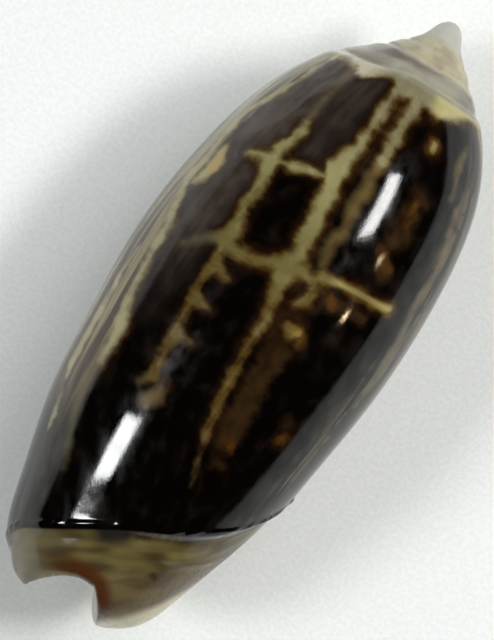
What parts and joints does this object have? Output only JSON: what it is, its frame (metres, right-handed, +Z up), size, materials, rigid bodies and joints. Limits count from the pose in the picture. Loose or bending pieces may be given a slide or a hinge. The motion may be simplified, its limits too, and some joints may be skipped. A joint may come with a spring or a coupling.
{
  "type": "olive shell",
  "caption": "Glossy dark brown olive shell with cream streaks: long rounded body, short pointed spire, narrow mouth underneath and a notched front end.",
  "frame": {"origin": "centre of the bounding box, on the level surface the shell rests on", "axes": "+Y along the coil axis towards the tip of the spire, +Z up out of the rounded back, +X to the right seen from above with the spire away from the viewer"},
  "size_m": [0.016, 0.038, 0.0142],
  "materials": {
    "shell_glaze": "natural porcelain gloss, dark brown with cream streaks, tan front band, grey spire"
  },
  "bodies": {
    "root": {"shell": "shell_glaze"}
  },
  "joints": []
}
